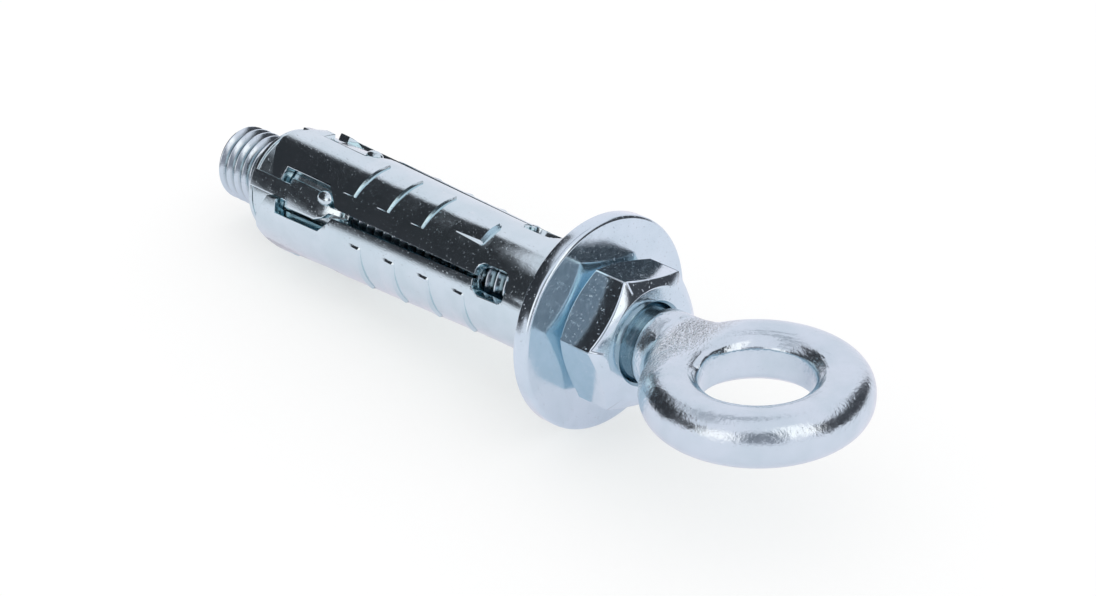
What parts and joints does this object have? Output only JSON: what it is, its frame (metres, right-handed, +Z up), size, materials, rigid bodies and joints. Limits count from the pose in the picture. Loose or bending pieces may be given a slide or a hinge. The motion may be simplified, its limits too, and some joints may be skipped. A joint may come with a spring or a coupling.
{
  "type": "eye sleeve anchor",
  "caption": "Expansion anchor with a forged eye, a threaded stud, a nut and washer, a slit barbed sleeve and a keyed cone that spreads it.",
  "frame": {"origin": "centre of the footprint on the floor, with the anchor lying on the washer's back edge and the sleeve's open end", "axes": "+X from the stud's free end toward the eye, along the floor; +Z up, with the eye's flat side facing up"},
  "size_m": [0.0846, 0.0216, 0.0216],
  "materials": {
    "eye_bolt": "bright zinc plate with a blue tint on forged steel",
    "hex_nut": "bright zinc plate with a blue tint",
    "washer": "bright zinc plate with a blue tint",
    "sleeve": "bright zinc plate with a blue tint on rolled sheet",
    "cone_nut": "bright zinc plate with a blue tint"
  },
  "bodies": {
    "shield": {"sleeve": "sleeve", "washer": "washer"},
    "nut": {"hex_nut": "hex_nut"},
    "bolt": {"eye_bolt": "eye_bolt", "cone_nut": "cone_nut"}
  },
  "joints": [
    {"name": "nut_turn", "type": "hinge", "parent": "shield", "child": "nut", "pos_m": [0.01249, 0, 0.01089], "axis": [-0.9958, 0, -0.0912], "range_deg": [0, 360]},
    {"name": "bolt_draw", "type": "slide", "parent": "shield", "child": "bolt", "axis": [0.9958, 0, 0.0912], "range_m": [0, 0.00125]}
  ],
  "couplings": [
    {"joint": "nut_turn", "follows": "bolt_draw", "rad_per_m": 5026.5}
  ]
}
